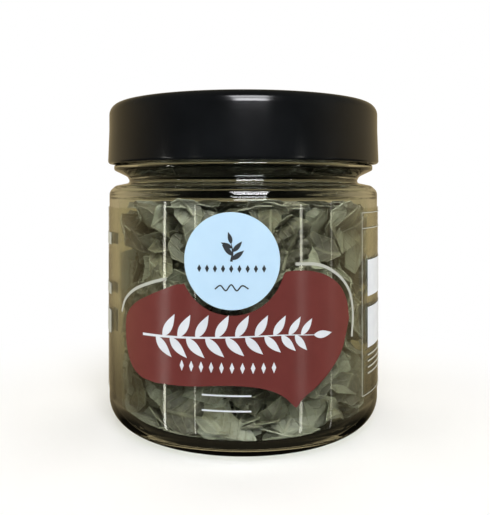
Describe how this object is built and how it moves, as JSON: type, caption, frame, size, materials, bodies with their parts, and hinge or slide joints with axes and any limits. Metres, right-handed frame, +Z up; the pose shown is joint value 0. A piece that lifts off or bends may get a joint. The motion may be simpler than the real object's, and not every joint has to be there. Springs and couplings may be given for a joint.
{
  "type": "glass jar of dried curry leaves",
  "caption": "Round glass storage jar with a black twist-off metal lid, a seal ring and a clear wrap label, filled with torn dried curry leaves.",
  "frame": {"origin": "on the jar's axis, in the plane that its foot ring stands on", "axes": "+Z up along the jar's axis, towards the lid; -Y through the middle of the label; +X to the label's right"},
  "size_m": [0.0728, 0.0728, 0.0837],
  "materials": {
    "jar_glass": "polished soda-lime container glass",
    "lid_lacquer": "glossy black lacquer on tinplate",
    "seal_compound": "matte off-white plastisol",
    "label_film": "clear film printed in dark red, pale blue and white",
    "dried_leaf": "dry brittle leaf, matte",
    "dried_stalk": "dry stalk, matte"
  },
  "bodies": {
    "jar": {"glass_jar": "jar_glass", "wrap_label": "label_film", "leaf_piece_01": "dried_leaf", "leaf_piece_02": "dried_leaf", "leaf_piece_03": "dried_leaf", "leaf_piece_04": "dried_leaf", "leaf_piece_05": "dried_leaf", "leaf_piece_06": "dried_leaf", "leaf_piece_07": "dried_leaf", "leaf_piece_08": "dried_leaf", "leaf_piece_09": "dried_leaf", "leaf_piece_10": "dried_leaf", "leaf_piece_11": "dried_leaf", "leaf_piece_12": "dried_leaf", "leaf_piece_13": "dried_leaf", "leaf_piece_14": "dried_leaf", "leaf_piece_15": "dried_leaf", "leaf_piece_16": "dried_leaf", "leaf_piece_17": "dried_leaf", "leaf_piece_18": "dried_leaf", "leaf_piece_19": "dried_leaf", "leaf_piece_20": "dried_leaf", "leaf_piece_21": "dried_leaf", "leaf_piece_22": "dried_leaf", "leaf_piece_23": "dried_leaf", "leaf_piece_24": "dried_leaf", "leaf_piece_25": "dried_leaf", "leaf_piece_26": "dried_leaf", "leaf_piece_27": "dried_leaf", "leaf_piece_28": "dried_leaf", "leaf_piece_29": "dried_leaf", "leaf_piece_30": "dried_leaf", "leaf_piece_31": "dried_leaf", "leaf_piece_32": "dried_leaf", "leaf_piece_33": "dried_leaf", "leaf_piece_34": "dried_leaf", "leaf_piece_35": "dried_leaf", "leaf_piece_36": "dried_leaf", "leaf_piece_37": "dried_leaf", "leaf_piece_38": "dried_leaf", "leaf_piece_39": "dried_leaf", "leaf_piece_40": "dried_leaf", "leaf_piece_41": "dried_leaf", "leaf_piece_42": "dried_leaf", "leaf_piece_43": "dried_leaf", "leaf_piece_44": "dried_leaf", "leaf_piece_45": "dried_leaf", "leaf_piece_46": "dried_leaf", "leaf_piece_47": "dried_leaf", "leaf_piece_48": "dried_leaf", "stalk_piece_1": "dried_stalk", "stalk_piece_2": "dried_stalk", "stalk_piece_3": "dried_stalk"},
    "seal": {"lid_gasket": "seal_compound"},
    "lid": {"lid_shell": "lid_lacquer"}
  },
  "joints": [
    {"name": "lid_rise", "type": "slide", "parent": "jar", "child": "seal", "axis": [0, 0, 1], "range_m": [0, 0.00176]},
    {"name": "lid_turn", "type": "hinge", "parent": "seal", "child": "lid", "pos_m": [0, 0, 0.074], "axis": [0, 0, 1], "range_deg": [0, 74]}
  ],
  "couplings": [
    {"joint": "lid_rise", "follows": "lid_turn", "m_per_rad": 0.0013528}
  ]
}
